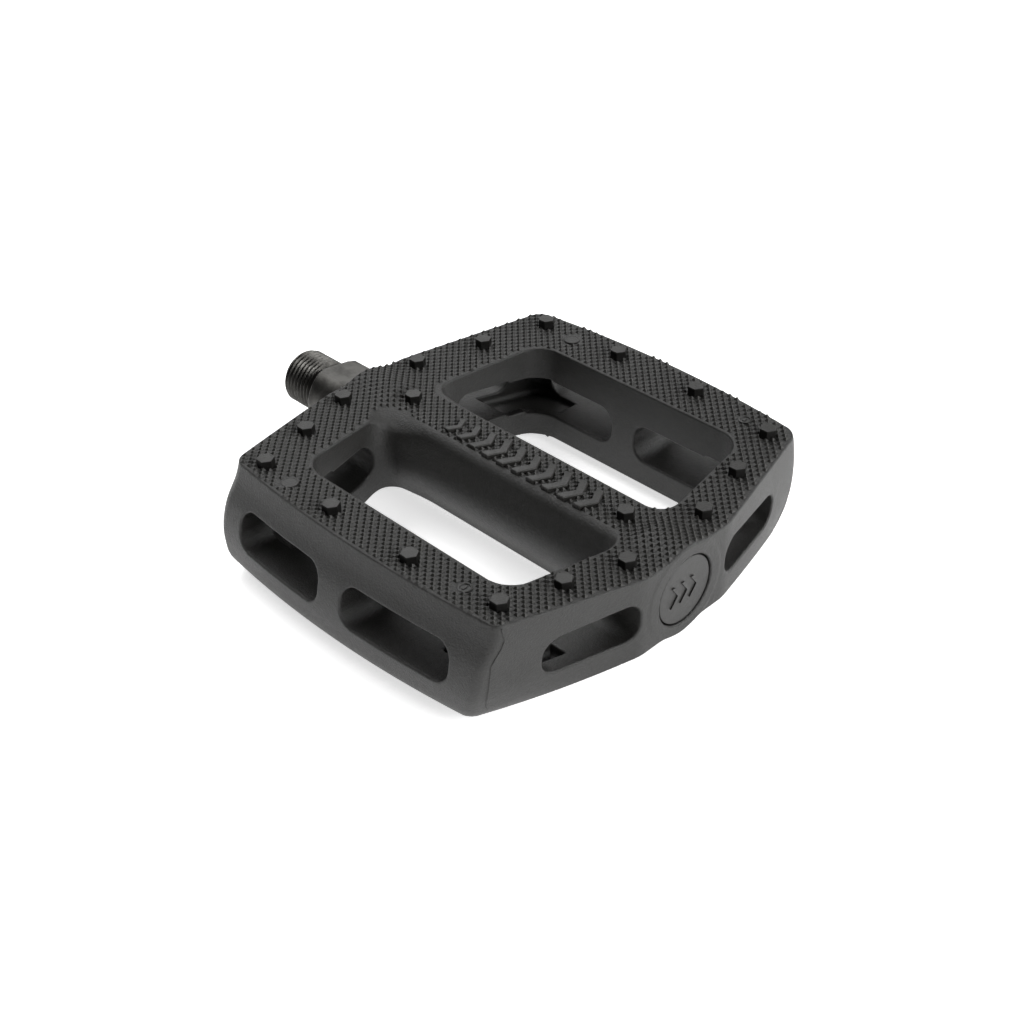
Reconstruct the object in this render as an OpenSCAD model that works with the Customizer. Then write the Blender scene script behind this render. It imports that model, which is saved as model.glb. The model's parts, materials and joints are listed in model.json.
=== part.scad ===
// Flat platform pedal with a moulded nylon body on a steel spindle with loose-ball bearings.
// X runs along the spindle, away from the crank. Z is up through the standing face.
// The origin is on the spindle's axis, where the crank thread ends.

/* [Crank thread and collar] */
// Major radius of the 9/16 inch crank thread
thread_r = 7.14; // [7.0:0.01:7.2]
// Length of the crank thread
thread_len = 12; // [10:0.5:14]
// Radius of the wrench collar
collar_r = 9.4; // [9:0.1:9.6]
// Where the wrench collar ends
collar_end = 12.2; // [11:0.1:12.6]
// Distance across the wrench flats
flat_across = 15; // [14:0.5:17]
// Roll of the wrench flats about the spindle
flat_roll = 7; // [-30:1:30]

/* [Platform] */
// Inboard facet of the platform
body_in = 14.5; // [14:0.1:15]
// Outboard facet of the platform, flush with the end cap
body_out = 116.3; // [115:0.1:118]
// Half the width at the four corners, measured at the deck
corner_y = 48; // [46:0.5:49]
// How far the front and rear edges bow out between the corners
edge_bow = 2.8; // [1:0.1:4]
// Height of the deck beside the spindle
deck_mid = 10.3; // [10:0.1:11]
// Height of the deck along the front and rear edges
deck_edge = 14; // [13:0.1:15]

/* [Openings] */
// Length of the two foot-bed cut-outs, at the spindle side
cut_len = 75; // [70:1:78]
// Half the width of the web over the spindle
web_half = 6.3; // [5.5:0.1:7]
// Where the cut-outs end, from the spindle
cut_y = 38; // [36:0.5:39]
// Height of the windows in the front and rear walls
window_h = 9.8; // [8:0.2:11]
// Height of the windows in the two ends
end_window_h = 9.5; // [6:0.5:10]

/* [Grip pins] */
// Corner radius of a hexagonal pin
pin_r = 2.1; // [1.5:0.1:2.5]
// Height of a pin above the deck
pin_h = 2.2; // [1:0.1:4]

/* [Bearings] */
// Ball radius, 5/32 inch balls
ball_r = 1.984; // [1.9:0.001:2]
// Number of balls in the inboard row
in_balls = 10; // [8:1:10]
// Number of balls in the outboard row
out_balls = 9; // [7:1:9]
// Clearance between a ball and its races
race_gap = 0.04; // [0.03:0.01:0.08]

/* [Hidden] */
$fn = 64;

// Plan of the platform
in_facet_y = 14;
out_facet_y = 13;
in_corner_x = body_in + 11.6;
out_corner_x = body_out - 8;
// Levels of the outer wall, from the bottom up
wall_z = [-16, -11, -6, 4, 10, 16];
// How far the front wall stands out from the deck edge at each level
front_out = [-0.6, 3.9, 5.4, 4.1, 1.6, 0];
// How far the rear wall stands out from the deck edge at each level
rear_out = [-0.4, 0.6, 2.4, 2.8, 1.8, 0.2];
// How far the inboard corners push out at each level, front and rear
front_push = [1.4, 2.3, 2.4, 1.7, 0.6, 0];
rear_push = [0, 0, -0.1, -0.2, -0.4, -0.4];
// How much further each wall stands out at its inboard end than at its outboard end
front_skew = [1, 1, 0.7, 0.2, 0, 0];
rear_skew = [0.6, 0.6, 0.6, 0.6, 0.6, 0.6];
// How far the outboard corners draw in at each level, front and rear
front_draw = [9, 5.4, 3.2, 1, 0, 0];
rear_draw = [2.6, 1.5, 0.7, 0, 0, 0];
// The outboard grip pins under the platform, beyond pin_draw_x, draw in by pin_draw at pin_draw_y
pin_draw = 4.4;
pin_draw_x = body_out - 15;
pin_draw_y = 45;
// How far a grip pin reaches into the deck
pin_root = 2;
bow_steps = 8;
corner_blend = 3;
cut_blend = 5;
blend_steps = 5;
// Plan of a cut-out: gap to the outboard facet, and how far its ends lean in towards the wall
cut_gap = 12.3;
cut_lean_in = 8.2;
cut_lean_out = 3.4;

// Spindle bore, bearing seats and tube
bore_r = 6.5;
in_seat_r = 9.8;
in_seat_x = 24;
out_seat_r = 8.6;
out_seat_x = 94.5;
tube_r = 10;
boss_r = 11.6;
boss_in = 13.3;
in_boss_end = 27;
in_cone_end = 35;
out_boss_start = 106;

// Ball rows: place along the spindle and pitch radius
in_row_x = 19.2;
in_row_r = 6.6;
out_row_x = 98;
out_row_r = 5.9;
groove_r = ball_r + race_gap;

// Spindle steps
relief_r = 6.2;
relief_len = 0.9;
journal_r = 6;
shaft_r = 4.55;
neck_x = 84;
end_thread_r = 3;
end_thread_x = 92;
spindle_end = 108;
keyway = 1.2;
keyway_depth = 0.7;

// Hardware on the outboard end
cone_face = 102;
keyway_x = cone_face - 3;
washer_t = 1.2;
washer_r = 5.2;
nut_t = 4.4;
nut_across = 10;
cap_face_r = 8.35;
cap_face_t = 3.4;
cap_depth = 6.6;
cap_wall = 1.4;
cap_hollow = 0.8;

// Dust seal: how deep it sits, its thickness and its gap to the journal
seal_set = 0.3;
seal_t = 1.8;
seal_gap = 0.3;

// Race rings: reach past the ball row, clearance to the journal, and the shoulder inside the row
race_reach = 2.4;
cup_gap = 0.6;
shoulder = 0.4;
cone_nose_t = 0.85;
tab_gap = 0.1;
tab_h = 1;

// End windows: where they start and end, from the spindle
end_window = [14, 37.5];
// Front and rear windows: where each starts and ends along X
side_windows = [[32.9, 61.4], [68.9, 99.4]];
// Lift of the front windows above the middle; the rear ones are lowered as much
window_z = 1.4;
window_round = 4;
// Pockets that join the windows behind the corners: wall left outside, height, and end along the wall
corner_wall = 3.7;
pocket_h = 9.4;
pocket_y = 46.4;
pocket_lap = 8;
// How far inside the wall's inner face the windows start
window_back = 4;
end_window_back = 20;
// Length that passes through everything, and the overlap of joined or cut solids
reach = 70;
lap = 1;

// Grip pins of one quarter, X and Y, then the two on the spindle line
rim_pins = [[32.6, 45], [56.2, 45.9], [80.7, 45.8], [103.8, 43.2],
            [26.2, 28.6], [19.6, 12], [106.9, 28.1], [110.1, 12.5]];
web_pins = [[31.3, 0], [98.8, 0]];

function mix(a, b, t) = a + (b - a) * t;
// Value at height z on a list that follows wall_z
function level(list, z, i = 0) =
    z <= wall_z[i + 1] || i == len(wall_z) - 2
    ? mix(list[i], list[i + 1], (z - wall_z[i]) / (wall_z[i + 1] - wall_z[i]))
    : level(list, z, i + 1);
function deck_z(y) = deck_mid
    + (deck_edge - deck_mid) * max(abs(y) - out_facet_y, 0) / (corner_y - out_facet_y);
// One long edge from corner a to corner b, bowed out by edge_bow
function bowed(a, b, side) = [for (i = [0:bow_steps])
    let (t = i / bow_steps)
    [mix(a[0], b[0], t), mix(a[1], b[1], t) + side * edge_bow * 4 * t * (1 - t)]];
// Outline of the outer wall at height z, before its corners are rounded
function wall_ring(z) =
    let (
        f = -corner_y - level(front_out, z),
        r = corner_y + level(rear_out, z),
        fx = out_corner_x - level(front_draw, z),
        rx = out_corner_x - level(rear_draw, z),
        fi = in_corner_x - level(front_push, z),
        ri = in_corner_x - level(rear_push, z),
        fs = level(front_skew, z) / 2,
        rs = level(rear_skew, z) / 2
    )
    concat(
        [[body_in, -in_facet_y]],
        bowed([fi, f - fs], [fx, f + fs], -1),
        [[body_out, -out_facet_y], [body_out, out_facet_y]],
        bowed([rx, r - rs], [ri, r + rs], 1),
        [[body_in, in_facet_y]]
    );
function unit(v) = v / norm(v);
// Points of the list with every corner cut by a quadratic arc of the given reach
function blended(pts, reach_in) =
    let (n = len(pts))
    [for (i = [0:n - 1])
        let (
            p = pts[i],
            before = pts[(i + n - 1) % n],
            after = pts[(i + 1) % n],
            r = min(reach_in, norm(before - p) / 2.1, norm(after - p) / 2.1),
            a = p + unit(before - p) * r,
            b = p + unit(after - p) * r
        )
        for (k = [0:blend_steps])
            let (t = k / blend_steps)
            mix(mix(a, p, t), mix(p, b, t), t)
    ];

// Solid between the outline rings
module wall_solid() {
    rings = [for (z = wall_z) blended(wall_ring(z), corner_blend)];
    n = len(rings[0]);
    m = len(rings);
    points = [for (j = [0:m - 1]) for (p = rings[j]) [p[0], p[1], wall_z[j]]];
    sides = [for (j = [0:m - 2]) for (i = [0:n - 1])
        let (a = j * n + i, b = j * n + (i + 1) % n)
        each [[a, a + n, b], [b, a + n, b + n]]];
    caps = [[for (i = [0:n - 1]) i], [for (i = [n - 1:-1:0]) (m - 1) * n + i]];
    polyhedron(points = points, faces = concat(sides, caps));
}

// Both standing faces, each dished towards the spindle
module deck_band() {
    top = [for (y = [-reach, -out_facet_y, out_facet_y, reach]) [y, deck_z(y)]];
    bottom = [for (i = [3:-1:0]) [top[i][0], -top[i][1]]];
    translate([body_in - 5, 0, 0])
        rotate([90, 0, 90])
            linear_extrude(height = body_out - body_in + 10)
                polygon(concat(bottom, top));
}

// Plan of the cut-out on one side of the spindle
function cut_plan(side) =
    let (
        end_x = body_out - cut_gap,
        start_x = end_x - cut_len,
        plan = [[start_x, web_half], [end_x, web_half], [end_x - cut_lean_out, cut_y],
                [start_x + cut_lean_in, cut_y]]
    )
    [for (p = plan) [p[0], side * p[1]]];

module cut_out(side) {
    translate([0, 0, -reach / 2])
        linear_extrude(height = reach)
            polygon(blended(cut_plan(side), cut_blend));
}

// Rounded slot from a to b along X, pushed through along Y
module slot(a, b, h) {
    rotate([90, 0, 0])
        linear_extrude(height = reach)
            polygon(blended([[a, -h / 2], [b, -h / 2], [b, h / 2], [a, h / 2]], window_round));
}

module end_slot(side) {
    slot(side < 0 ? -end_window[1] : end_window[0],
         side < 0 ? -end_window[0] : end_window[1], end_window_h);
}

module windows() {
    for (w = side_windows) {
        translate([0, -cut_y + window_back, window_z])
            slot(w[0], w[1], window_h);
        translate([0, cut_y - window_back + reach, -window_z])
            slot(w[0], w[1], window_h);
    }
    for (side = [-1, 1]) {
        translate([body_out - end_window_back, 0, 0])
            rotate([0, 0, 90])
                end_slot(side);
        translate([body_in + end_window_back - reach, 0, 0])
            rotate([0, 0, 90])
                end_slot(side);
    }
}

// Pocket behind the corner between facet point f and corner point c, out to x = wx
module corner_pocket(f, c, wx, side) {
    u = unit(c - f);
    n = [u[1], -u[0]] * sign(wx - c[0]);
    p = c + n * corner_wall;
    start_y = end_window[1] - pocket_lap;
    at_start = p - u * (p[1] - start_y) / u[1];
    at_end = p + u * (pocket_y - p[1]) / u[1];
    plan = [at_start, at_end, [wx, pocket_y], [wx, start_y]];
    translate([0, 0, -side * window_z / 2 - pocket_h / 2])
        linear_extrude(height = pocket_h)
            polygon(blended([for (q = plan) [q[0], side * q[1]]], corner_blend));
}

module pockets() {
    for (side = [-1, 1]) {
        corner_pocket([body_in, in_facet_y], [in_corner_x, corner_y],
                      side_windows[0][0] + pocket_lap, side);
        corner_pocket([body_out, out_facet_y], [out_corner_x - level(front_draw, 0), corner_y],
                      side_windows[1][1] - pocket_lap, side);
    }
}

// Cylinder along X from a to b
module along(r, a, b) {
    translate([a, 0, 0])
        rotate([0, 90, 0])
            cylinder(r = r, h = b - a);
}

// Cone along X from a to b
module tapered(ra, rb, a, b) {
    translate([a, 0, 0])
        rotate([0, 90, 0])
            cylinder(r1 = ra, r2 = rb, h = b - a);
}

// Ring groove that a ball row runs in
module groove(x, row_r) {
    translate([x, 0, 0])
        rotate([0, 90, 0])
            rotate_extrude()
                translate([row_r, 0])
                    circle(r = groove_r, $fn = 32);
}

// The outboard pins under the platform follow the drawn-in lower edge
function pin_shift(p, face) = face < 0 && p[0] > pin_draw_x ? pin_draw * p[1] / pin_draw_y : 0;

module pins() {
    for (face = [-1, 1]) {
        for (side = [-1, 1])
            for (p = rim_pins)
                grip_pin(p[0] - pin_shift(p, face), side * p[1], face);
        for (p = web_pins)
            grip_pin(p[0], p[1], face);
    }
}

module grip_pin(x, y, face) {
    base = deck_z(y);
    translate([x, y, face < 0 ? -base - pin_h : base - pin_root])
        cylinder(r = pin_r, h = pin_h + pin_root, $fn = 6);
}

module body() {
    color([0.05, 0.05, 0.055])
        difference() {
            union() {
                difference() {
                    intersection() {
                        wall_solid();
                        deck_band();
                    }
                    cut_out(-1);
                    cut_out(1);
                    windows();
                    pockets();
                }
                along(tube_r, in_boss_end, body_out - 5);
                along(boss_r, boss_in, in_boss_end);
                tapered(boss_r, tube_r, in_boss_end, in_cone_end);
                along(boss_r, out_boss_start, body_out);
                pins();
            }
            along(bore_r, boss_in - lap, body_out + lap);
            along(in_seat_r, boss_in - lap, in_seat_x);
            along(out_seat_r, out_seat_x, body_out + lap);
        }
}

module end_cap() {
    color([0.06, 0.06, 0.06])
        difference() {
            union() {
                along(cap_face_r, body_out - cap_face_t, body_out);
                along(out_seat_r, body_out - cap_depth, body_out - cap_face_t);
            }
            along(out_seat_r - cap_wall, body_out - cap_depth - lap, body_out - cap_face_t + cap_hollow);
        }
}

module dust_seal() {
    color([0.03, 0.03, 0.03])
        difference() {
            along(in_seat_r, boss_in + seal_set, boss_in + seal_set + seal_t);
            along(journal_r + seal_gap, boss_in, boss_in + seal_set + seal_t + lap);
        }
}

module spindle() {
    color([0.2, 0.2, 0.21])
        difference() {
            union() {
                along(thread_r, -thread_len, 0);
                along(relief_r, -lap, relief_len + lap);
                intersection() {
                    along(collar_r, relief_len, collar_end);
                    rotate([-flat_roll, 0, 0])
                        translate([0, -reach / 2, -flat_across / 2])
                            cube([collar_end, reach, flat_across]);
                }
                along(journal_r, collar_end - lap, in_row_x);
                along(shaft_r, in_row_x - lap, neck_x);
                tapered(shaft_r, end_thread_r, neck_x, end_thread_x);
                along(end_thread_r, end_thread_x - lap, spindle_end);
            }
            groove(in_row_x, in_row_r);
            translate([keyway_x, -keyway / 2, end_thread_r - keyway_depth])
                cube([spindle_end, keyway, end_thread_r]);
        }
}

module inboard_cup() {
    color("silver")
        difference() {
            along(in_seat_r, in_row_x - race_reach, in_seat_x);
            along(journal_r + cup_gap, in_row_x - race_reach - lap, in_seat_x + lap);
            along(in_row_r + groove_r, in_row_x - race_reach - lap, in_row_x);
            groove(in_row_x, in_row_r);
        }
}

module outboard_cup() {
    color("silver")
        difference() {
            along(out_seat_r, out_seat_x, out_row_x + race_reach);
            along(out_row_r - shoulder, out_seat_x - lap, out_row_x + race_reach + lap);
            along(out_row_r + groove_r, out_row_x, out_row_x + race_reach + lap);
            groove(out_row_x, out_row_r);
        }
}

module adjusting_cone() {
    color("silver")
        difference() {
            union() {
                along(out_row_r - shoulder, out_row_x, cone_face);
                along(end_thread_r + cone_nose_t, out_row_x - race_reach, out_row_x + lap);
            }
            groove(out_row_x, out_row_r);
            along(end_thread_r, out_row_x - race_reach - lap, cone_face + lap);
        }
}

module lock_washer() {
    color("gray")
        union() {
            difference() {
                along(washer_r, cone_face, cone_face + washer_t);
                along(end_thread_r + tab_gap, cone_face - lap, cone_face + washer_t + lap);
            }
            translate([cone_face, -keyway / 2 + tab_gap, end_thread_r - keyway_depth + tab_gap])
                cube([washer_t, keyway - 2 * tab_gap, tab_h]);
        }
}

module lock_nut() {
    color("gray")
        difference() {
            translate([cone_face + washer_t, 0, 0])
                rotate([0, 90, 0])
                    cylinder(r = nut_across / sqrt(3), h = nut_t, $fn = 6);
            along(end_thread_r, cone_face, cone_face + washer_t + nut_t + lap);
        }
}

// Ball i of a row of count balls
module ball(x, row_r, i, count) {
    color("lightgray")
        rotate([360 * i / count, 0, 0])
            translate([x, 0, row_r])
                sphere(r = ball_r, $fn = 32);
}

body();
end_cap();
dust_seal();
spindle();
inboard_cup();
outboard_cup();
adjusting_cone();
lock_washer();
lock_nut();
for (i = [1:in_balls])
    ball(in_row_x, in_row_r, i, in_balls);
for (i = [1:out_balls])
    ball(out_row_x, out_row_r, i, out_balls);
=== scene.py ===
"""Flat platform pedal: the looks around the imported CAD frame.

Lengths in this script are millimetres in the frame's own axes: X along the spindle away from the crank,
Z up, Y towards the rear. They become Blender's metres where a mesh is made.
The moulded body is a signed distance field, turned into one mesh by surface nets.
"""

import json
import math

import bpy
import numpy as np
from mathutils import Matrix, Vector


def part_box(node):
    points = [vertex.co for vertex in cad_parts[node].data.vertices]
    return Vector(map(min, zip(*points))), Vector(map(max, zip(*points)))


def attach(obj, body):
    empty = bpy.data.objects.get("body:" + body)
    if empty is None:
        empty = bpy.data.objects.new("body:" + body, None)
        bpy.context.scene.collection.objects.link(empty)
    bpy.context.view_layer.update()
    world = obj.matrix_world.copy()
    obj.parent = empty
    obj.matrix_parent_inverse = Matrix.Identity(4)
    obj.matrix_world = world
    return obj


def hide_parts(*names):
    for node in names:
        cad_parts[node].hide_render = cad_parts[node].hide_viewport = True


MM = 0.001
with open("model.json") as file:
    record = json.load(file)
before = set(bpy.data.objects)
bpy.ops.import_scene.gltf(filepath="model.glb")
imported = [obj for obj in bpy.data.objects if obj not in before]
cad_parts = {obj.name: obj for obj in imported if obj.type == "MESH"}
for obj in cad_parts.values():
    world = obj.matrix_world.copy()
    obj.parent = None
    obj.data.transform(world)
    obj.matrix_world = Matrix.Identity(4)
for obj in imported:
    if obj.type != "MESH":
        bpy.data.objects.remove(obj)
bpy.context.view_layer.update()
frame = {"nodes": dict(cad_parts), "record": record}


def node_box(name):
    """Lowest and highest corner of a CAD node, in millimetres."""
    lo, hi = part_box(name)
    return [v / MM for v in lo], [v / MM for v in hi]


# ---------------------------------------------------------------- sizes

(BOSS_IN, BODY_FRONT, _), (BODY_OUT, BODY_REAR, _) = node_box("body")
(THREAD_START, _, _), (SPINDLE_END, COLLAR_R, _) = node_box("spindle")
(CAP_BACK, _, _), (CAP_FACE, _, CAP_R) = node_box("end_cap")
(SEAL_BACK, _, _), (SEAL_FRONT, _, SEAL_R) = node_box("dust_seal")
THREAD_R = next(m["dims"]["r_mm"] for m in frame["record"]["mounts"] if m["name"] == "spindle_thread")

BODY_IN = BOSS_IN + 1.2  # inboard facet
CORNER_Y = 48.0  # half the deck's width at its corners
EDGE_BOW = 2.8
FACET_IN_Y, FACET_OUT_Y = 14.0, 13.0
CORNER_IN_X, CORNER_OUT_X = BODY_IN + 11.6, BODY_OUT - 8.0
DECK_MID, DECK_EDGE = 10.3, 14.0
PIN_H = 2.2

# The outer wall through its height: how far it stands out, and how far its outboard corners draw in
WALL_Z = [-16, -11, -6, 4, 10, 16]
FRONT_OUT = [-0.6, 3.9, 5.15, 4.1, 1.6, 0]
REAR_OUT = [-0.4, 0.6, 2.2, 2.5, 1.6, 0.1]
FRONT_DRAW = [9.0, 5.4, 3.2, 1, 0, 0]
REAR_DRAW = [2.6, 1.5, 0.7, 0, 0, 0]
FRONT_PUSH = [1.4, 2.3, 2.4, 1.7, 0.6, 0]  # the front inboard corner leans out instead
REAR_PUSH = [0, 0, -0.1, -0.2, -0.4, -0.4]
FRONT_SKEW = [1.0, 1.0, 0.7, 0.2, 0, 0]  # and both walls stand out more at their inboard ends
REAR_SKEW = [0.6, 0.6, 0.6, 0.6, 0.6, 0.6]
IN_CORNER_R, FRONT_CORNER_R, REAR_CORNER_R = 2.6, 1.6, 3.0

TUBE_R, BOSS_R = 10.0, 11.6
TUBE_FLARE, BOSS_DRAW = 1.5, 2.8  # the tube widens at its inboard end, the boss draws in between its ends
EDGE_R = 0.4
WEB_FILLET, RAMP_FILLET = 3.5, 4.5
WEB_ROLL, RAMP_ROLL = 1.8, 3.2  # softer edges beside the spindle, softest on the ramp at the inboard end
WEB_HALF, CUT_Y = 6.3, 38.0
CUT_START, CUT_END = BODY_OUT - 87.3, BODY_OUT - 12.3
CUT_LEAN_IN, CUT_LEAN_OUT = 8.2, 3.4
CUT_CORNER_R = 5.5

# Windows through the side and end walls. Side windows sit higher in front than behind
SIDE_WINDOWS = [(32.9, 61.4), (68.9, 99.4)]
WINDOW_H, WINDOW_LIFT = 9.8, 1.4
END_WINDOW = (14.0, 37.5)
END_WINDOW_H = 9.5
WINDOW_CORNER_R, WINDOW_EDGE_R = 4.0, 0.55

# Pockets that join the windows behind the corners, and the deeper hollow behind each pocket's mouth
CORNER_WALL = 3.7
POCKET_H, POCKET_Y, POCKET_LAP = 9.6, 46.4, 9.0
POCKET_CORNER_R, POCKET_EDGE_R = 3.0, 0.8
OUT_POCKET_DRAW = 2.0
HOLLOW_H, HOLLOW_EDGE_R = 15.0, 1.5
POCKET_LIP = 2.2

BORE_R, IN_SEAT_R, OUT_SEAT_R = 6.5, SEAL_R, CAP_R
IN_SEAT_X, OUT_SEAT_X = 24.0, 94.5


# ---------------------------------------------------------------- fields


def smooth_curve(t, xs, ys):
    """The values ys at places xs as one smooth curve, read at t."""
    xs, ys = np.asarray(xs, float), np.asarray(ys, float)
    slope = np.gradient(ys, xs)
    i = np.clip(np.searchsorted(xs, t) - 1, 0, len(xs) - 2)
    h = xs[i + 1] - xs[i]
    s = np.clip((t - xs[i]) / h, 0, 1)
    a, b = 2 * s**3 - 3 * s**2 + 1, s**3 - 2 * s**2 + s
    return a * ys[i] + (1 - a) * ys[i + 1] + h * (b * slope[i] + (s**3 - s**2) * slope[i + 1])


def step(a, b, t):
    """0 before a, 1 after b, smooth between."""
    s = np.clip((t - a) / (b - a), 0, 1)
    return s * s * (3 - 2 * s)


def union(a, b, k):
    """Both solids, with a fillet about k wide in the corner between them."""
    h = np.clip(0.5 + 0.5 * (b - a) / k, 0, 1)
    return b + (a - b) * h - k * h * (1 - h)


def both(a, b, r):
    """What lies inside both solids, its new edge rounded to radius r."""
    return np.minimum(np.maximum(a, b), -r) + np.hypot(np.maximum(a + r, 0), np.maximum(b + r, 0))


def beyond(x, y, ax, ay, bx, by):
    """How far (x, y) lies to the left of the line from a to b."""
    dx, dy = bx - ax, by - ay
    return ((y - ay) * dx - (x - ax) * dy) / np.hypot(dx, dy)


def deck_z(y):
    rise = (DECK_EDGE - DECK_MID) / (CORNER_Y - FACET_OUT_Y)
    return DECK_MID + rise * np.maximum(np.abs(y) - FACET_OUT_Y, 0)


def at_height(y, z, front, rear):
    """One of the wall's tables at height z: the front one where y is negative, else the rear one."""
    return np.where(y < 0, smooth_curve(z, WALL_Z, front), smooth_curve(z, WALL_Z, rear))


def outline(x, y, z):
    """Outer wall at height z: negative inside."""
    ay = np.abs(y)
    half = CORNER_Y + at_height(y, z, FRONT_OUT, REAR_OUT)
    out_x = CORNER_OUT_X - at_height(y, z, FRONT_DRAW, REAR_DRAW)
    in_x = CORNER_IN_X - at_height(y, z, FRONT_PUSH, REAR_PUSH)
    skew = at_height(y, z, FRONT_SKEW, REAR_SKEW)
    t = np.clip((x - in_x) / (out_x - in_x), -0.2, 1.2)
    edge = ay - half - EDGE_BOW * 4 * t * (1 - t) - skew * (0.5 - t)
    d = both(edge, beyond(x, ay, BODY_IN, FACET_IN_Y, in_x, half), IN_CORNER_R)
    corner_r = np.where(y < 0, FRONT_CORNER_R, REAR_CORNER_R)
    d = both(d, -beyond(x, ay, BODY_OUT, FACET_OUT_Y, out_x, half), corner_r)
    d = both(d, BODY_IN - x, 0.6)
    return both(d, x - BODY_OUT, 0.4)


def cut_out(x, y):
    ay = np.abs(y)
    d = both(WEB_HALF - ay, ay - CUT_Y, 1.0)
    d = both(d, beyond(x, ay, CUT_START, WEB_HALF, CUT_START + CUT_LEAN_IN, CUT_Y), CUT_CORNER_R)
    return both(d, -beyond(x, ay, CUT_END, WEB_HALF, CUT_END - CUT_LEAN_OUT, CUT_Y), CUT_CORNER_R)


def slot(along, z, a, b, mid, h):
    """A window from a to b and h high, with round corners."""
    return both(np.abs(along - (a + b) / 2) - (b - a) / 2, np.abs(z - mid) - h / 2, WINDOW_CORNER_R)


def corner_pockets(x, y, z):
    """Pockets that join the windows behind the four corners."""
    ay = np.abs(y)
    inner = beyond(x, ay, BODY_IN, FACET_IN_Y, CORNER_IN_X, CORNER_Y) + CORNER_WALL
    inner = both(inner, ay - POCKET_Y, POCKET_CORNER_R)
    corner_x = CORNER_OUT_X - OUT_POCKET_DRAW
    outer = -beyond(x, ay, BODY_OUT, FACET_OUT_Y, corner_x, CORNER_Y) + CORNER_WALL
    outer = both(outer, ay - POCKET_Y, POCKET_CORNER_R)
    inner = np.maximum(inner, x - SIDE_WINDOWS[0][0] - POCKET_LAP)
    outer = np.maximum(outer, SIDE_WINDOWS[1][1] - POCKET_LAP - x)
    plan = np.maximum(np.minimum(inner, outer), END_WINDOW[1] - POCKET_LAP - ay)
    lift = np.where(y < 0, WINDOW_LIFT, -WINDOW_LIFT) / 2
    mouth = both(plan, np.abs(z - lift) - POCKET_H / 2, POCKET_EDGE_R)
    behind = np.maximum(plan, POCKET_LIP - cut_out(x, y))
    return np.minimum(mouth, both(behind, np.abs(z) - HOLLOW_H / 2, HOLLOW_EDGE_R))


def web_roll(x, y, z):
    """How much softer the deck's edge is beside the spindle: on the top in front, on the bottom behind."""
    near = 1 - step(WEB_HALF + 1, WEB_HALF + 8, np.abs(y))
    near = near * step(BODY_IN + 8, BODY_IN + 12, x) * (y * z < 0)
    ramp = RAMP_ROLL * (1 - step(CUT_START + 2, CUT_START + 14, x))
    return near * (WEB_ROLL + ramp) * (1 - step(CUT_END - 4, CUT_END + 2, x))


def body_field(x, y, z):
    """The moulded body, without its pins and knurl: negative inside."""
    ay, radius = np.abs(y), np.hypot(y, z)
    wall = both(outline(x, y, z), -cut_out(x, y), 0.5)
    flare = TUBE_FLARE * (1 - step(26, 36, x))
    tube = np.maximum(radius - TUBE_R - flare, np.maximum(BODY_IN + 4 - x, x - BODY_OUT + 4))
    fillet = WEB_FILLET + RAMP_FILLET * (1 - step(CUT_START + 2, CUT_START + 16, x))
    rim = EDGE_R + web_roll(x, y, z)
    plate = both(union(wall, tube, fillet), (np.abs(z) - deck_z(y)) * 0.9945, rim)
    boss = radius - BOSS_R + BOSS_DRAW * step(25, 33, x) * (1 - step(101, 107, x))
    d = both(both(union(plate, boss, 1.2), BOSS_IN - x, 0.6), x - BODY_OUT, 0.6)
    lift = np.where(y < 0, WINDOW_LIFT, -WINDOW_LIFT)
    for a, b in SIDE_WINDOWS:
        d = both(d, -np.maximum(slot(x, z, a, b, lift, WINDOW_H), CUT_Y - 4 - ay), WINDOW_EDGE_R)
    at_ends = np.minimum(x - BODY_IN - 20, BODY_OUT - 20 - x)
    d = both(d, -np.maximum(slot(ay, z, *END_WINDOW, 0.0, END_WINDOW_H), at_ends), WINDOW_EDGE_R)
    d = both(d, -corner_pockets(x, y, z), 0.5)
    d = np.maximum(d, BORE_R - radius)
    d = both(d, -np.maximum(radius - IN_SEAT_R, x - IN_SEAT_X), 0.3)
    return both(d, -np.maximum(radius - OUT_SEAT_R, OUT_SEAT_X - x), 0.3)


def slope(field, p, h=0.02):
    """The field's value and gradient at the points p."""
    d = field(*p.T)
    g = np.empty_like(p)
    for axis in range(3):
        q = p.copy()
        q[:, axis] += h
        r = p.copy()
        r[:, axis] -= h
        g[:, axis] = (field(*q.T) - field(*r.T)) / (2 * h)
    return d, g


def settle(field, p, rounds, most):
    """Moves the points p onto the field's surface, and returns them with the surface's normals."""
    for _ in range(rounds):
        d, g = slope(field, p)
        move = d / np.maximum((g**2).sum(1), 0.25)
        p = p - g * np.clip(move, -most, most)[:, None]
    _, g = slope(field, p)
    return p, g / np.linalg.norm(g, axis=1)[:, None]


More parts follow.
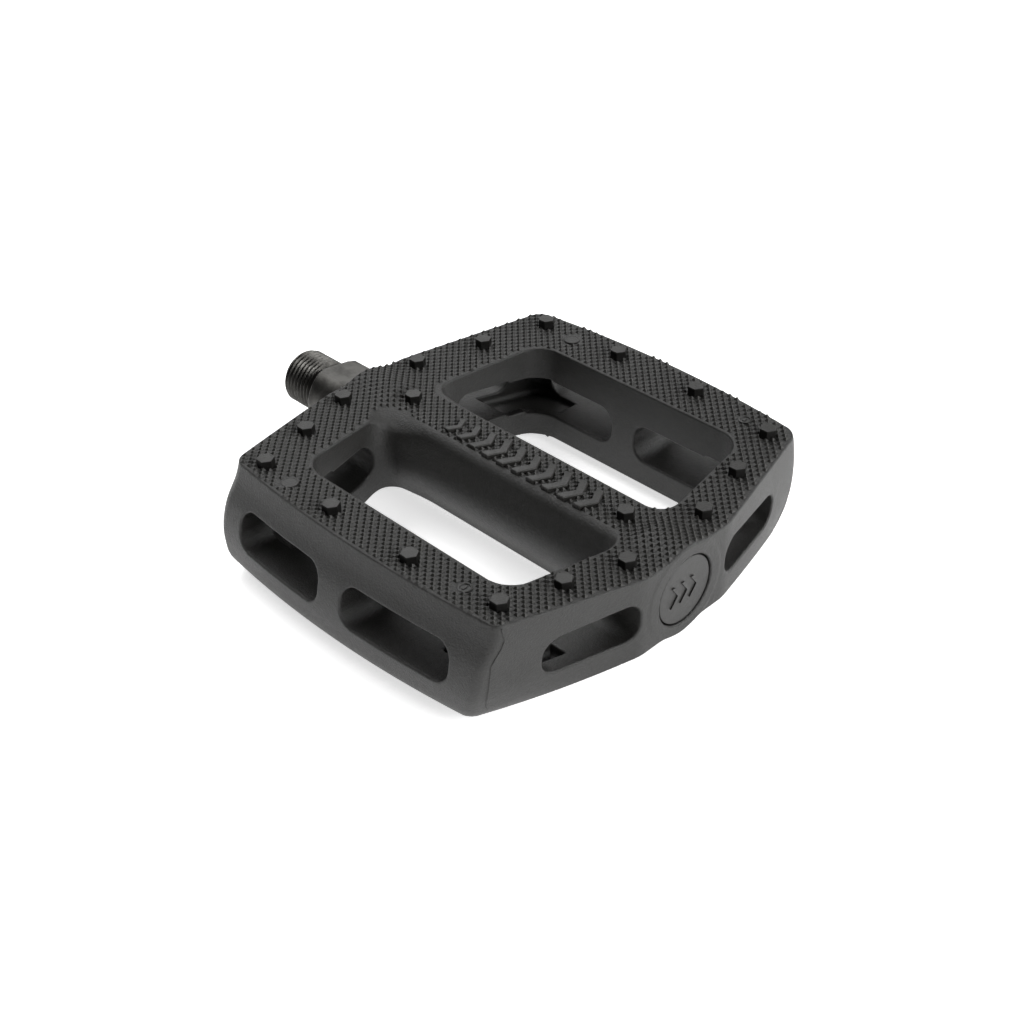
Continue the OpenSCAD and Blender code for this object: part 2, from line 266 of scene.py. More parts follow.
def surface_net(field, lo, hi, cell):
    """Vertices and quads of the surface where the field is zero."""
    axes = [np.arange(a, b + cell, cell) for a, b in zip(lo, hi)]
    d = field(*np.meshgrid(*axes, indexing="ij", sparse=True))
    inside = d < 0
    n = np.array(d.shape) - 1
    corners = [np.array((i, j, k)) for i in (0, 1) for j in (0, 1) for k in (0, 1)]
    parts = (inside[tuple(slice(c, c + m) for c, m in zip(corner, n))] for corner in corners)
    full = sum(part.astype(np.int8) for part in parts)
    active = (full > 0) & (full < 8)
    cells = np.argwhere(active)
    ids = np.full(active.shape, -1)
    ids[active] = np.arange(len(cells))
    place, hits = np.zeros((len(cells), 3)), np.zeros(len(cells))
    for axis in range(3):
        along = np.eye(3, dtype=int)[axis]
        for start in (c for c in corners if c[axis] == 0):
            a = d[tuple((cells + start).T)]
            b = d[tuple((cells + start + along).T)]
            cross = (a < 0) != (b < 0)
            t = a[cross] / (a[cross] - b[cross])
            place[cross] += start + t[:, None] * along
            hits[cross] += 1
    verts = np.array(lo) + (cells + place / hits[:, None]) * cell
    quads = []
    for axis in range(3):
        b, c = (axis + 1) % 3, (axis + 2) % 3
        along, eb, ec = (np.eye(3, dtype=int)[i] for i in (axis, b, c))
        here = [slice(1, None)] * 3
        here[axis] = slice(0, -1)
        there = [slice(1, None)] * 3
        this, other = inside[tuple(here)], inside[tuple(there)]
        edges = np.argwhere(this != other) + 1
        edges[:, axis] -= 1
        edges = edges[(edges < n).all(1)]
        ring = [ids[tuple((edges + o).T)] for o in (-eb - ec, -ec, 0 * eb, -eb)]
        quad = np.stack(ring, 1)
        outward = inside[tuple(edges.T)]
        quads.append(np.where(outward[:, None], quad, quad[:, ::-1]))
    return verts, np.concatenate(quads)


# ---------------------------------------------------------------- meshes


def place(name, verts, faces, normals=None, smooth=True):
    """A mesh object from points in millimetres."""
    mesh = bpy.data.meshes.new(name)
    mesh.from_pydata((np.asarray(verts, float) * MM).tolist(), [], [list(map(int, f)) for f in faces])
    mesh.polygons.foreach_set("use_smooth", [smooth] * len(mesh.polygons))
    mesh.validate()
    if normals is not None:
        mesh.normals_split_custom_set_from_vertices(normals.tolist())
    obj = bpy.data.objects.new(name, mesh)
    bpy.context.scene.collection.objects.link(obj)
    return obj


def finish_piece(obj, body, nodes, material):
    obj.data.materials.clear()
    obj.data.materials.append(material)
    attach(obj, body)
    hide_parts(*nodes)
    return obj


def thinned(obj, most):
    """The object's mesh reduced to at most that many triangles, as points and faces in millimetres."""
    obj.data.calc_loop_triangles()
    share = most / len(obj.data.loop_triangles)
    if share < 1:
        thin = obj.modifiers.new("thin", "DECIMATE")
        thin.ratio = share
    view = obj.evaluated_get(bpy.context.evaluated_depsgraph_get())
    mesh = bpy.data.meshes.new_from_object(view)
    co = np.empty(len(mesh.vertices) * 3)
    mesh.vertices.foreach_get("co", co)
    faces = [tuple(p.vertices) for p in mesh.polygons]
    bpy.data.meshes.remove(mesh)
    bpy.data.objects.remove(obj)
    return co.reshape(-1, 3) / MM, faces


def shared_edges_sharp(obj, degrees=32):
    obj.data.set_sharp_from_angle(angle=math.radians(degrees))
    return obj


# ---------------------------------------------------------------- materials


def material(name):
    made = bpy.data.materials.new(name)
    made.use_nodes = True
    return made, made.node_tree, made.node_tree.nodes["Principled BSDF"]


def node(tree, kind, settings=(), **inputs):
    """A node with its settings, and its inputs set or linked by name."""
    made = tree.nodes.new(kind)
    for key, value in dict(settings).items():
        setattr(made, key, value)
    for key, value in inputs.items():
        numbered = key[0] == "i" and key[1:].isdigit()
        socket = made.inputs[int(key[1:]) if numbered else key.replace("_", " ")]
        if isinstance(value, bpy.types.NodeSocket):
            tree.links.new(value, socket)
        else:
            socket.default_value = value
    return made


def noise(tree, where, scale, detail=3.0, rough=0.55):
    made = node(tree, "ShaderNodeTexNoise", Vector=where, Scale=scale, Detail=detail, Roughness=rough)
    return made.outputs["Fac"]


def ramp(tree, fac, stops):
    """A colour ramp over fac. stops are (place, grey or colour)."""
    made = node(tree, "ShaderNodeValToRGB", Fac=fac)
    elements = made.color_ramp.elements
    while len(elements) < len(stops):
        elements.new(0.5)
    for element, (at, value) in zip(elements, stops):
        element.position = at
        element.color = (*value, 1) if isinstance(value, tuple) else (value, value, value, 1)
    return made.outputs["Color"]


def range_of(tree, value, lo, hi):
    """value from 0..1 mapped to lo..hi."""
    return node(tree, "ShaderNodeMapRange", Value=value, To_Min=lo, To_Max=hi).outputs["Result"]


def times(tree, a, b, kind="MULTIPLY"):
    return node(tree, "ShaderNodeMath", {"operation": kind}, i0=a, i1=b).outputs["Value"]


def blended_colour(tree, fac, a, b):
    return node(tree, "ShaderNodeMix", {"data_type": "RGBA"}, i0=fac, i6=a, i7=b).outputs[2]


def bump(tree, shader, layers):
    """Stacks bumps on the shader. layers are (height socket, strength, depth in millimetres)."""
    normal = None
    for height, strength, depth in layers:
        made = node(tree, "ShaderNodeBump", Strength=strength, Distance=depth * MM, Height=height)
        if normal is not None:
            tree.links.new(normal, made.inputs["Normal"])
        normal = made.outputs["Normal"]
    tree.links.new(normal, shader.inputs["Normal"])


def where(tree, stretch=(1, 1, 1)):
    """Object coordinates in metres, stretched."""
    place = node(tree, "ShaderNodeTexCoord").outputs["Object"]
    return node(tree, "ShaderNodeMapping", Vector=place, Scale=stretch).outputs["Vector"]


def moulded_nylon(name, dark, light, rough, grain=0.7, specular=0.5, wear=0.0):
    """Black glass-filled nylon: a fine eroded grain, faint flow marks and short fibres near the surface."""
    made, tree, shader = material(name)
    at = where(tree)
    fine, mid, flow = noise(tree, at, 2000, 4, 0.7), noise(tree, at, 900, 3), noise(tree, at, 90, 4, 0.6)
    fibres = noise(tree, where(tree, (1, 0.18, 0.4)), 5200, 2, 0.5)
    speck = ramp(tree, fibres, [(0.62, 0.0), (0.74, 1.0)])
    tone = range_of(tree, flow, 0.15, 0.85)
    colour = blended_colour(tree, tone, (*dark, 1), (*light, 1))
    colour = blended_colour(tree, times(tree, speck, 0.35), colour, (*[c * 2.2 for c in light], 1))
    if wear:
        sharpness = node(tree, "ShaderNodeNewGeometry").outputs["Pointiness"]
        ridge = ramp(tree, sharpness, [(0.52, 0.0), (0.62, 1.0)])
        colour = blended_colour(tree, times(tree, ridge, wear), colour, (*[c * 2.6 for c in light], 1))
    tree.links.new(colour, shader.inputs["Base Color"])
    uneven = times(tree, times(tree, mid, 0.12), times(tree, flow, 0.1), "ADD")
    tree.links.new(times(tree, uneven, rough - 0.11, "ADD"), shader.inputs["Roughness"])
    shader.inputs["Specular IOR Level"].default_value = specular
    bump(tree, shader, [(flow, 0.25, 0.12), (mid, 0.3, 0.06), (fine, grain, 0.26)])
    return made


def metal(name, colour, rough, brushed=(1, 1, 1), grain=0.25, tint=None, grime=0.3):
    """Steel with its turning or grinding marks, and patches where oil or oxide has dulled it."""
    made, tree, shader = material(name)
    lines = noise(tree, where(tree, brushed), 2600, 3, 0.6)
    patches = noise(tree, where(tree), 160, 5, 0.65)
    pits = noise(tree, where(tree), 2400, 2, 0.5)
    stain = ramp(tree, patches, [(0.42, 0.0), (0.66, 1.0)])
    dull = tuple(c * (1 - grime) for c in (tint or colour))
    base = blended_colour(tree, stain, (*colour, 1), (*dull, 1))
    tree.links.new(base, shader.inputs["Base Color"])
    shader.inputs["Metallic"].default_value = 1.0
    level = times(tree, times(tree, patches, 0.2), times(tree, lines, 0.12), "ADD")
    tree.links.new(times(tree, level, rough - 0.16, "ADD"), shader.inputs["Roughness"])
    bump(tree, shader, [(pits, 0.15, 0.02), (lines, grain, 0.02)])
    return made


def rubber(name):
    made, tree, shader = material(name)
    at = where(tree)
    bloom, skin = noise(tree, at, 220, 5, 0.6), noise(tree, at, 3200, 3)
    tone = blended_colour(tree, bloom, (0.012, 0.012, 0.013, 1), (0.03, 0.03, 0.031, 1))
    tree.links.new(tone, shader.inputs["Base Color"])
    tree.links.new(range_of(tree, bloom, 0.6, 0.85), shader.inputs["Roughness"])
    bump(tree, shader, [(skin, 0.4, 0.03)])
    return made


BLACK, WORN_BLACK = (0.0055, 0.0053, 0.0046), (0.0095, 0.0092, 0.0082)
NYLON = moulded_nylon("nylon_body", BLACK, (0.0085, 0.0082, 0.0072), 0.50)
NYLON_GRIP = moulded_nylon("nylon_grip", BLACK, WORN_BLACK, 0.46, grain=0.4, specular=0.4, wear=0.4)
# A darker, less shiny copy of the grip nylon: painted shade for the pins' steep sides, which the lamps
# leave dark
NYLON_PAINTED_SHADE = moulded_nylon(
    "nylon_painted_shade", (0.003, 0.0029, 0.0026), (0.006, 0.0058, 0.0052), 0.6, grain=0.3, specular=0.12
)
NYLON_CAP = moulded_nylon("nylon_cap", (0.006, 0.0058, 0.0051), WORN_BLACK, 0.44, grain=0.35)
SEAL_RUBBER = rubber("seal_rubber")
DARK_STEEL = metal("oxide_steel", (0.085, 0.083, 0.078), 0.42, (0.25, 1, 1), tint=(0.05, 0.048, 0.045))
RACE_STEEL = metal("ground_steel", (0.46, 0.46, 0.47), 0.24, (6, 0.4, 0.4), grain=0.12)
ZINC = metal("zinc_steel", (0.42, 0.43, 0.44), 0.36, (1, 1, 1), grain=0.2)
BALL_STEEL = metal("polished_steel", (0.6, 0.6, 0.61), 0.18, (1, 1, 1), grain=0.03, grime=0.1)


# ---------------------------------------------------------------- the moulded body

CELL = 0.4
MOST_TRIANGLES = 190_000

margin = 1.0
raw_verts, raw_faces = surface_net(
    body_field,
    (BOSS_IN - margin, BODY_FRONT - margin, -DECK_EDGE - 1.5),
    (BODY_OUT + margin, BODY_REAR + margin, DECK_EDGE + 1.5),
    CELL,
)
raw_verts, _ = settle(body_field, raw_verts, 2, 0.2)
verts, faces = thinned(place("raw", raw_verts, raw_faces), MOST_TRIANGLES)
verts, normals = settle(body_field, verts, 2, 0.1)
shell = place("body_shell", verts, faces, normals)
finish_piece(shell, "platform", ["body"], NYLON)


def skin_z(x, y, face):
    """Height of the moulding's standing face at (x, y): face is 1 for the top and -1 for the bottom."""
    z = np.full(np.shape(x), face * (DECK_EDGE + 2.5))
    for _ in range(26):
        z = z - face * body_field(x, y, z)
    return z


# ---------------------------------------------------------------- knurl

KNURL_PITCH, KNURL_H, KNURL_TOP = 1.5, 0.58, 0.28
KNURL_WIDE = 0.55  # half the side of a bump, as a share of the spacing along X
KNURL_RIM, KNURL_UNDER_RIM = 0.35, 1.2  # plain strip along the outer edges, on top and underneath
KNURL_CUT = 0.5  # and along the cut-outs
KNURL_SUNK = 0.05
KNURL_REACH = 60  # half the side of the square that the rows start from
EJECTORS = [(42.15, 44.2), (41.6, -45.5)]
DATE_RINGS = [(96.3, 44.6), (94.8, -43.9)]
EJECTOR_R, DATE_R = 2.0, 1.6


def rim_gap(x, y, face):
    """How far (x, y) lies past the knurl's outer edge on a face."""
    over_boss = np.maximum(np.abs(y) - BOSS_R + 1.6, np.maximum(BOSS_IN - x, x - BODY_IN - 6))
    rim = KNURL_RIM if face > 0 else KNURL_UNDER_RIM
    return np.minimum(outline(x, y, face * (DECK_EDGE - 0.6)), over_boss) + rim


def cut_gap(x, y, face):
    """How far (x, y) lies past the knurl's edge along the cut-outs."""
    return KNURL_CUT + 0.35 * web_roll(x, y, face) - cut_out(x, y)


def drawn_to(gap, x, y, face, h=0.02):
    """Points past the gap's edge are pulled back onto it."""
    g = gap(x, y, face)
    gx = (gap(x + h, y, face) - gap(x - h, y, face)) / (2 * h)
    gy = (gap(x, y + h, face) - gap(x, y - h, face)) / (2 * h)
    over = np.maximum(g, 0) / np.maximum(gx**2 + gy**2, 0.5)
    return x - over * gx, y - over * gy


def knurl(face):
    """Small square pyramids with flattened tips, corner to corner over one standing face."""
    half = KNURL_PITCH / math.sqrt(2)
    count = int(2 * KNURL_REACH / half)
    i, j = np.mgrid[0:count, 0:count]
    x, y = (BODY_IN + (i - 4) * half).ravel(), ((j - int(KNURL_REACH / half)) * half).ravel()
    keep = ((i + j) % 2 == 0).ravel() & (x < BODY_OUT)
    keep &= (rim_gap(x, y, face) < -0.3 * half) & (cut_gap(x, y, face) < -0.15 * half)
    for (cx, cy), r in [(c, EJECTOR_R) for c in EJECTORS] + [(c, DATE_R) for c in DATE_RINGS]:
        keep &= np.hypot(x - cx, y - cy) > r + 0.5
    x, y = x[keep], y[keep]
    around = np.array([(1, 1), (-1, 1), (-1, -1), (1, -1)]) * half * KNURL_WIDE
    cx = np.concatenate([x[:, None] + around[:, 0], x[:, None] + KNURL_TOP * around[:, 0]], 1)
    cy = np.concatenate([y[:, None] + around[:, 1], y[:, None] + KNURL_TOP * around[:, 1]], 1)
    for gap in (rim_gap, cut_gap):
        cx, cy = drawn_to(gap, cx, cy, face)
    z = skin_z(cx, cy, face)
    fade = step(-0.3, 0.5, -rim_gap(x, y, face))
    z[:, :4] -= face * KNURL_SUNK
    z[:, 4:] += face * (KNURL_H * fade)[:, None]
    verts = np.stack([cx, cy, z], 2).reshape(-1, 3)
    first = np.arange(len(x)) * 8
    sides = [(k, (k + 1) % 4, (k + 1) % 4 + 4, k + 4) for k in range(4)]
    block = np.array(sides + [(4, 5, 6, 7), (3, 2, 1, 0)])
    if face < 0:
        block = block[:, ::-1]
    return verts, (first[:, None, None] + block).reshape(-1, 4)


def several(parts):
    """One list of points and one of faces from several."""
    verts, faces, n = [], [], 0
    for v, f in parts:
        verts.append(np.asarray(v, float))
        faces += [[k + n for k in face] for face in f]
        n += len(v)
    return np.concatenate(verts), faces


def on_body(obj, look):
    """A raised part of the moulding."""
    return finish_piece(obj, "platform", ["body"], look)


for face, name in ((1, "knurl_top"), (-1, "knurl_bottom")):
    on_body(place(name, *knurl(face), smooth=False), NYLON_GRIP)


# ---------------------------------------------------------------- grip pins, motif and marks

PIN_R = 2.1
PIN_DRAW = 4.4  # underneath, the outboard rim pins stand further in, at the corner by about this much
RIM_PINS = [(32.6, 45), (56.2, 45.9), (80.7, 45.8), (103.8, 43.2)]
RIM_PINS += [(26.2, 28.6), (19.6, 12), (106.9, 28.1), (110.1, 12.5)]
WEB_PINS = [(31.3, 0), (98.8, 0)]


def walls(rows, n):
    """Quads between rows of n points, where each row closes on itself."""
    return [
        [j * n + k, j * n + (k + 1) % n, (j + 1) * n + (k + 1) % n, (j + 1) * n + k]
        for j in range(rows - 1)
        for k in range(n)
    ]


def tower(outline_points, levels, x, y, z, face):
    """A closed solid on an outline, scaled at each level. levels are (height, share of the outline)."""
    pts = np.asarray(outline_points, float)
    n, verts = len(pts), []
    for h, share in levels:
        at = x + pts[:, 0] * share, y + pts[:, 1] * share
        verts.append(np.column_stack([*at, np.full(n, z + face * h)]))
    faces = walls(len(levels), n)
    faces += [list(range((len(levels) - 1) * n, len(levels) * n)), list(range(n - 1, -1, -1))]
    if face < 0:
        faces = [f[::-1] for f in faces]
    return np.concatenate(verts), faces


def even(n):
    """n angles spaced evenly round a circle."""
    return np.arange(n) * 2 * math.pi / n


def ring_points(r, n):
    a = even(n)
    return np.column_stack([r * np.cos(a), r * np.sin(a)])


PIN_LEVELS = [(-1.2, 1.03), (0.0, 1.03), (0.25, 1.0)]
PIN_LEVELS += [(PIN_H - 0.2, 0.99), (PIN_H - 0.06, 0.965), (PIN_H, 0.91)]
pins = []
for face in (1, -1):
    spots = [(x, side * y) for x, y in RIM_PINS for side in (1, -1)] + WEB_PINS
    for x, y in spots:
        drawn = PIN_DRAW * abs(y) / 45 if face < 0 and x > BODY_OUT - 15 else 0
        base = deck_z(y)
        pins.append(tower(ring_points(PIN_R, 6), PIN_LEVELS, x - drawn, y, face * float(base), face))
pins = on_body(shared_edges_sharp(place("grip_pins", *several(pins)), 12), NYLON_GRIP)
# Faces that stand steeper than about 60 degrees take the darker copy: painted shade on the pins' sides
pins.data.materials.append(NYLON_PAINTED_SHADE)
for polygon in pins.data.polygons:
    polygon.material_index = int(abs(polygon.normal.z) < 0.5)

MOTIF_START, MOTIF_STEP, MOTIF_COUNT, MOTIF_H = 47.5, 4.7, 10, 0.95
CHEVRON = [(-1.9, -4.1), (0.1, -4.1), (2.2, 0), (0.1, 4.1), (-1.9, 4.1), (0.2, 0)]
motif = []
for face in (1, -1):
    for k in range(MOTIF_COUNT):
        size = 0.72 + 0.28 * min(1, k / 3)
        arm = [(x * size, y * size) for x, y in CHEVRON]
        levels = [(-0.6, 1.0), (MOTIF_H - 0.2, 1.0), (MOTIF_H - 0.05, 0.96), (MOTIF_H, 0.9)]
        x = MOTIF_START + MOTIF_STEP * k
        motif.append(tower(arm, levels, x, -1.0 * face, face * DECK_MID, face))
on_body(shared_edges_sharp(place("web_chevrons", *several(motif)), 12), NYLON_GRIP)

# The mould's parting line wanders down the two outboard corners: distance along the wall, and height
PARTING = [(-0.2, 13.3), (0.5, 10.3), (-0.4, 8.2), (-1.7, 6.2)]
PARTING += [(-2.5, 4.6), (-2.7, 0), (-2.8, -6.3), (-2.2, -12.8)]
PARTING_W, PARTING_H = 0.5, 0.16
PARTING_STEPS = 60


def parting_line(side):
    """A fine raised line on the outboard corner at side, pressed onto the moulding."""
    shift, z = np.array(PARTING).T
    z_fine = np.linspace(z[0], z[-1], PARTING_STEPS)
    y = side * (CORNER_Y - 0.6 - np.interp(-z_fine, -z, shift))
    p = np.column_stack([np.full(PARTING_STEPS, CORNER_OUT_X + 0.6), y, -side * z_fine])
    p, n = settle(body_field, p, 12, 1.0)
    along = np.gradient(p, axis=0)
    across = np.cross(along / np.linalg.norm(along, axis=1)[:, None], n)
    profile = [(-0.5, -0.1), (-0.16, PARTING_H), (0.16, PARTING_H), (0.5, -0.1)]
    verts = np.stack([p + across * PARTING_W * w + n * h for w, h in profile], 1).reshape(-1, 3)
    k = len(profile)
    faces = walls(PARTING_STEPS, k)
    faces += [list(range(k))[::-1], [(PARTING_STEPS - 1) * k + i for i in range(k)]]
    return verts, faces


lines = several([parting_line(side) for side in (-1, 1)])
on_body(shared_edges_sharp(place("parting_lines", *lines)), NYLON)

EJECTOR_LEVELS = [(-0.6, 1.0), (0.22, 1.0), (0.3, 0.94), (0.3, 0.8), (0.24, 0.76)]
DATE_LEVELS = [(-0.6, 1.0), (0.25, 1.0), (0.32, 0.92), (0.32, 0.74), (0.08, 0.66)]
POINTER_LEVELS = [(0.0, 1.0), (0.3, 1.0), (0.34, 0.85)]
POINTER = [(-0.25, -0.75), (0.25, -0.75), (0.25, 0.2), (0.0, 0.8), (-0.25, 0.2)]


def mark(points, levels, x, y, face):
    """A raised figure standing on the moulding's skin."""
    base = float(skin_z(np.array([x]), np.array([y]), face)[0])
    return tower(points, levels, x, y, base, face)


marks = []
for face in (1, -1):
    for x, y in EJECTORS:
        marks.append(mark(ring_points(EJECTOR_R, 32), EJECTOR_LEVELS, x, y * face, face))
    for x, y in DATE_RINGS:
        marks.append(mark(ring_points(DATE_R, 32), DATE_LEVELS, x, y * face, face))
        marks.append(mark(POINTER, POINTER_LEVELS, x, y * face, face))
on_body(shared_edges_sharp(place("mould_marks", *several(marks))), NYLON_GRIP)


# ---------------------------------------------------------------- turned parts


def turned(rings, angles):
    """A solid turned about X. rings are (x, radius at each angle), the first and last near the axis."""
    n, verts = len(angles), []
    for x, r in rings:
        r = np.broadcast_to(r, (n,))
        verts.append(np.column_stack([np.full(n, x), r * np.cos(angles), r * np.sin(angles)]))
    m = len(rings)
    faces = [quad[::-1] for quad in walls(m, n)]
    faces += [list(range(n)), list(range(m * n - 1, (m - 1) * n - 1, -1))]
    return np.concatenate(verts), faces


def loop_turned(rings, angles):
    """As turned(), for a ring-shaped profile that closes on itself."""
    verts, faces = turned(rings, angles)
    n, m = len(angles), len(rings)
    closing = [[k, (k + 1) % n, (m - 1) * n + (k + 1) % n, (m - 1) * n + k] for k in range(n)]
    return verts, faces[:-2] + closing


def arc(cx, cr, r, a, b, n=5):
    """Points (x, radius) along an arc about (cx, cr), from angle a to b in degrees."""
    turns = np.radians(np.linspace(a, b, n))
    return [(cx + r * math.cos(t), cr + r * math.sin(t)) for t in turns]


NEAR_AXIS = 0.05
EMBLEM_H, EMBLEM_STEP = 0.3, 3.1
FACE_R, CAP_WALL_R = CAP_R - 0.3, CAP_R - 0.03
CAP_FLAT, CAP_EDGE = CAP_FACE - EMBLEM_H, 0.3
cap_profile = (
    [(CAP_FACE - 2.4, NEAR_AXIS), (CAP_FACE - 2.4, 7.0), (CAP_BACK, 7.2)]
    + [(CAP_BACK, CAP_R - 0.25), (CAP_BACK + 0.3, CAP_WALL_R)]
    + [(CAP_FACE - 3.5, CAP_WALL_R), (CAP_FACE - 3.4, FACE_R)]
    + arc(CAP_FLAT - CAP_EDGE, FACE_R - CAP_EDGE, CAP_EDGE, 90, 0)
    + [(CAP_FLAT, FACE_R - 1.2), (CAP_FLAT, NEAR_AXIS)]
)
cap = shared_edges_sharp(place("end_cap_face", *turned(cap_profile, even(128))), 28)
finish_piece(cap, "platform", ["end_cap"], NYLON_CAP)


def outboard(points, levels, x):
    """A raised figure on a plane that faces outboard: points are (y, z)."""
    verts, faces = tower(points, levels, 0, 0, 0, 1)
    return np.column_stack([verts[:, 2] + x, verts[:, 0], verts[:, 1]]), faces


ARROW = [(-1.5, -2.7), (-0.6, -2.7), (1.5, 0), (-0.6, 2.7), (-1.5, 2.7), (0.5, 0)]
EMBLEM_LEVELS = [(-0.3, 1.0), (EMBLEM_H - 0.05, 1.0), (EMBLEM_H, 1.0)]
emblem = []
for k in (-1, 0, 1):
    arrow = [(EMBLEM_STEP * k + y, z) for y, z in ARROW]
    emblem.append(outboard(arrow, EMBLEM_LEVELS, CAP_FLAT))
emblem_piece = shared_edges_sharp(place("cap_emblem", *several(emblem)))
finish_piece(emblem_piece, "platform", ["end_cap"], NYLON_CAP)

SEAL_IN_R = 6.3
SEAL_OUT_R = SEAL_R - 0.05
seal_profile = (
    [(SEAL_FRONT, SEAL_IN_R + 0.1), (SEAL_BACK + 0.5, SEAL_IN_R)]
    + arc(SEAL_BACK + 0.25, SEAL_IN_R + 0.25, 0.25, 270, 90)
    + [(SEAL_BACK + 0.6, SEAL_IN_R + 1.0), (SEAL_BACK + 0.6, SEAL_IN_R + 1.5)]
    + arc(SEAL_BACK + 0.3, SEAL_R - 1.2, 0.3, 270, 90)
    + [(SEAL_BACK + 0.45, SEAL_R - 0.4), (SEAL_BACK + 0.45, SEAL_OUT_R), (SEAL_FRONT, SEAL_OUT_R)]
)
seal = shared_edges_sharp(place("seal_lip", *loop_turned(seal_profile[::-1], even(96))), 40)
finish_piece(seal, "platform", ["dust_seal"], SEAL_RUBBER)

THREAD_PITCH, THREAD_DEPTH = 1.27, 0.78
RELIEF_END, COLLAR_END = 0.9, 12.2
FLAT_HALF = 7.5
FLAT_ANGLE = math.radians(83)
JOURNAL_R, SHAFT_R, NECK_X, TIP_X = 6.0, 4.55, 84.0, 92.0
ROW_X, ROW_R, GROOVE_R = 19.2, 6.6, 2.024  # the inboard balls' groove in the spindle
TIP_R, TIP_PITCH, TIP_DEPTH = 3.0, 1.0, 0.5
ROOT_R, THREAD_CHAMFER_R = 6.2, 5.9

flat_reach = math.acos(FLAT_HALF / COLLAR_R)
spindle_angles = []
for flat in (FLAT_ANGLE, FLAT_ANGLE + math.pi):
    spindle_angles += list(flat + np.linspace(-flat_reach, flat_reach, 25)[:-1])
    spindle_angles += list(flat + np.linspace(flat_reach, math.pi - flat_reach, 49)[:-1])
spindle_angles = np.array(spindle_angles)


def thread_r(x, major, pitch, depth):
    """Radius of a right-hand thread with flattened crests at each angle."""
    turn = (x / pitch - spindle_angles / (2 * math.pi)) % 1.0
    groove = np.clip(np.abs(turn - 0.5) * 2.5 - 0.12, 0, 1)
    return major - depth * (1 - groove)


flat_r = FLAT_HALF / np.maximum(np.abs(np.cos(spindle_angles - FLAT_ANGLE)), 1e-3)
collar = np.minimum(COLLAR_R, flat_r)
# A drilled centre in the crank end, the crank thread, its relief groove, then the wrench collar
spindle_rings = [(THREAD_START + 1.5, NEAR_AXIS), (THREAD_START + 0.2, 1.5), (THREAD_START, 1.8)]
spindle_rings += [(THREAD_START, 5.3)]
for x in np.arange(THREAD_START, -0.95, THREAD_PITCH / 12):
    cut_in = THREAD_CHAMFER_R + (x - THREAD_START) * 0.9
    run_out = ROOT_R + np.clip(-1.0 - x, 0, 1) * 2
    r = np.minimum(thread_r(x, THREAD_R, THREAD_PITCH, THREAD_DEPTH), max(cut_in, THREAD_CHAMFER_R))
    spindle_rings.append((x, np.minimum(r, max(run_out, ROOT_R))))
spindle_rings += [(-0.9, ROOT_R), (RELIEF_END - 0.3, ROOT_R), (RELIEF_END, 6.5)]
spindle_rings += [(RELIEF_END, np.minimum(collar, 8.6)), (RELIEF_END + 0.55, np.minimum(collar, 9.25))]
spindle_rings += [(RELIEF_END + 0.8, collar)]
spindle_rings += [(x, collar) for x in np.linspace(RELIEF_END + 1.5, COLLAR_END - 1.1, 7)]
spindle_rings += [(COLLAR_END - 0.5, collar), (COLLAR_END - 0.15, np.minimum(collar, 9.2))]
spindle_rings += [(COLLAR_END, np.minimum(collar, 8.9))]

# The journal, the ball groove, the shaft and the threaded tip
spindle_rings += [(COLLAR_END, JOURNAL_R + 0.3), (COLLAR_END + 0.3, JOURNAL_R), (ROW_X - 2.0, JOURNAL_R)]
for t in np.linspace(0.1, 1, 8):
    x = ROW_X - 1.93 * (1 - t)
    spindle_rings.append((x, ROW_R - math.sqrt(GROOVE_R**2 - (x - ROW_X) ** 2)))
spindle_rings += [(ROW_X + 0.3, SHAFT_R)] + [(x, SHAFT_R) for x in np.linspace(ROW_X + 2, NECK_X, 14)]
spindle_rings += [(TIP_X, TIP_R)]
for x in np.arange(TIP_X + 0.5, SPINDLE_END - 0.6, TIP_PITCH / 8):
    spindle_rings.append((x, thread_r(x, TIP_R, TIP_PITCH, TIP_DEPTH)))
spindle_rings += [(SPINDLE_END - 0.5, 2.6), (SPINDLE_END, 2.3), (SPINDLE_END, NEAR_AXIS)]
axle = shared_edges_sharp(place("spindle_turned", *turned(spindle_rings, spindle_angles)), 30)
finish_piece(axle, "spindle", ["spindle"], DARK_STEEL)


def dressed(name, look):
    """A CAD node that is shown as it is."""
    obj = frame["nodes"][name]
    obj.data.materials.clear()
    obj.data.materials.append(look)
    return obj


for name in ("inboard_cup", "outboard_cup", "adjusting_cone"):
    dressed(name, RACE_STEEL)
for name in ("lock_washer", "lock_nut"):
    dressed(name, ZINC)
for name in frame["nodes"]:
    if "_ball_" in name:
        ball = dressed(name, BALL_STEEL)
        ball.data.polygons.foreach_set("use_smooth", [True] * len(ball.data.polygons))


# ---------------------------------------------------------------- room, lights and camera

FLOOR_Z = -(DECK_EDGE + PIN_H - 0.2)
FLOOR_HALF = 4  # metres
FLOOR_GLOW = 0.66  # stands in for the light of a wide studio sweep
WORLD_LIGHT = 0.02
LAMP_DISTANCE, LAMP_SIZE = 0.9, 0.5

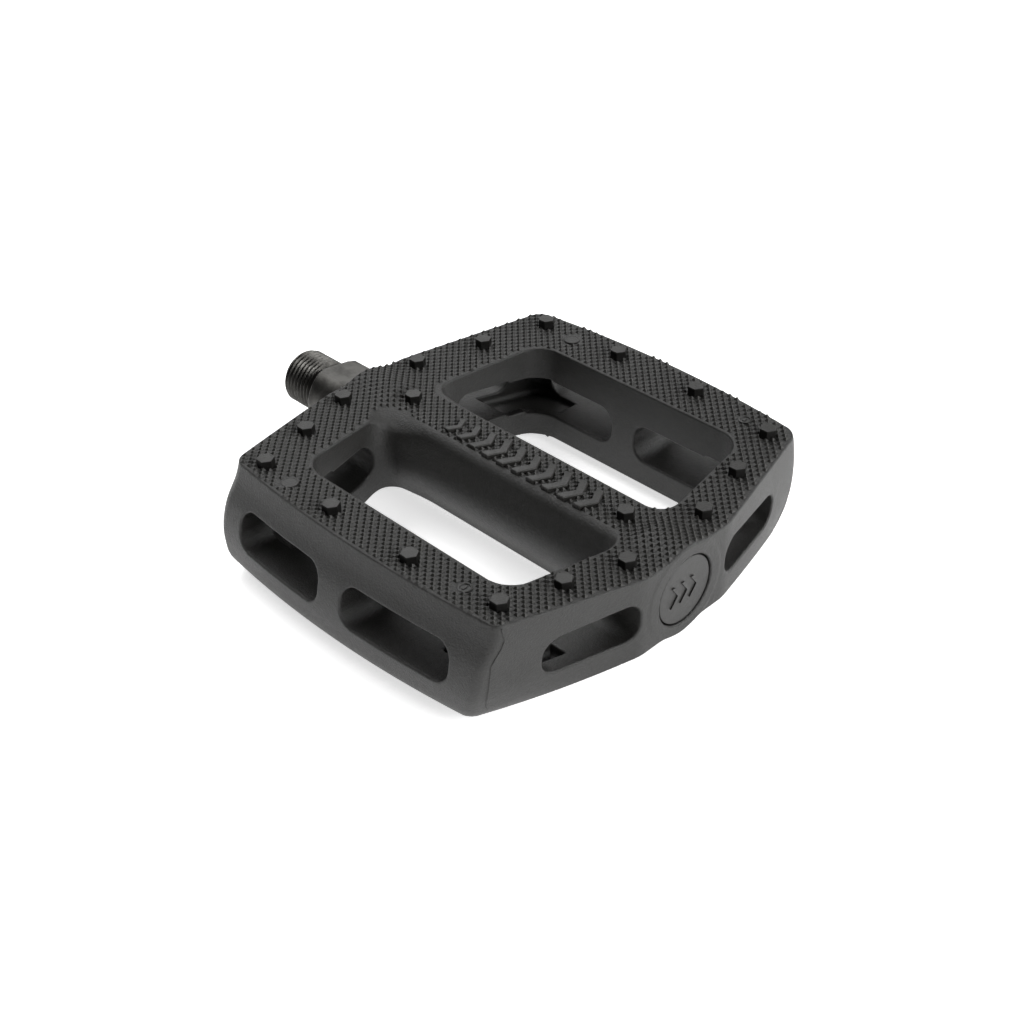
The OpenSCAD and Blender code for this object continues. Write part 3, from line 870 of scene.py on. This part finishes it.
floor_mesh = bpy.data.meshes.new("floor")
floor_corners = [(FLOOR_HALF * i, FLOOR_HALF * j, 0) for i, j in ((-1, -1), (1, -1), (1, 1), (-1, 1))]
floor_mesh.from_pydata(floor_corners, [], [(0, 1, 2, 3)])
floor = bpy.data.objects.new("floor", floor_mesh)
bpy.context.scene.collection.objects.link(floor)
floor.location = (0.06, 0, FLOOR_Z * MM)
paper, tree, shader = material("paper")
shader.inputs["Base Color"].default_value = (0.92, 0.92, 0.92, 1)
shader.inputs["Roughness"].default_value = 0.9
shader.inputs["Specular IOR Level"].default_value = 0.1
shader.inputs["Emission Color"].default_value = (1, 1, 1, 1)
shader.inputs["Emission Strength"].default_value = FLOOR_GLOW
floor_mesh.materials.append(paper)

world = bpy.data.worlds.new("studio")
bpy.context.scene.world = world
world.use_nodes = True
backdrop = world.node_tree.nodes["Background"]
backdrop.inputs["Color"].default_value = (1, 1, 1, 1)
backdrop.inputs["Strength"].default_value = WORLD_LIGHT

CENTRE = Vector(((BODY_IN + BODY_OUT) / 2 * MM, 0, 0))


def softbox(name, azimuth, elevation, power):
    """A soft area light aimed at the pedal. Azimuth 0 is towards +X and 90 towards +Y, in degrees."""
    light = bpy.data.lights.new(name, "AREA")
    light.shape = "RECTANGLE"
    light.size, light.size_y, light.energy = LAMP_SIZE, LAMP_SIZE, power
    lamp = bpy.data.objects.new(name, light)
    a, e = math.radians(azimuth), math.radians(elevation)
    away = Vector((math.cos(a) * math.cos(e), math.sin(a) * math.cos(e), math.sin(e)))
    lamp.location = CENTRE + away * LAMP_DISTANCE
    lamp.rotation_euler = (-away).to_track_quat("-Z", "Y").to_euler()
    bpy.context.scene.collection.objects.link(lamp)
    return lamp


softbox("right", 3, 25, 7.8)
softbox("right_rear", 60, 25, 4.6)
softbox("rear", 135, 35, 1.9)
softbox("top_rear", 160, 55, 3.3)
softbox("top_left", 200, 55, 3.0)

camera_data = bpy.data.cameras.new("camera")
camera_data.sensor_width = 36
camera_data.lens = 52.2
camera = bpy.data.objects.new("camera", camera_data)
camera_place = Vector((0.2625, -0.20046, 0.19771))
toward = Vector((-0.56964, 0.57678, -0.58552)).normalized()
across = Vector((0.71154, 0.70264, 0)).normalized()
turn = Matrix((across, across.cross(toward), -toward)).transposed().to_4x4()
camera.matrix_world = Matrix.Translation(camera_place) @ turn
bpy.context.scene.collection.objects.link(camera)
bpy.context.scene.camera = camera
camera_data.clip_start, camera_data.clip_end = 0.01, 20
bpy.context.scene.view_settings.view_transform = "Standard"
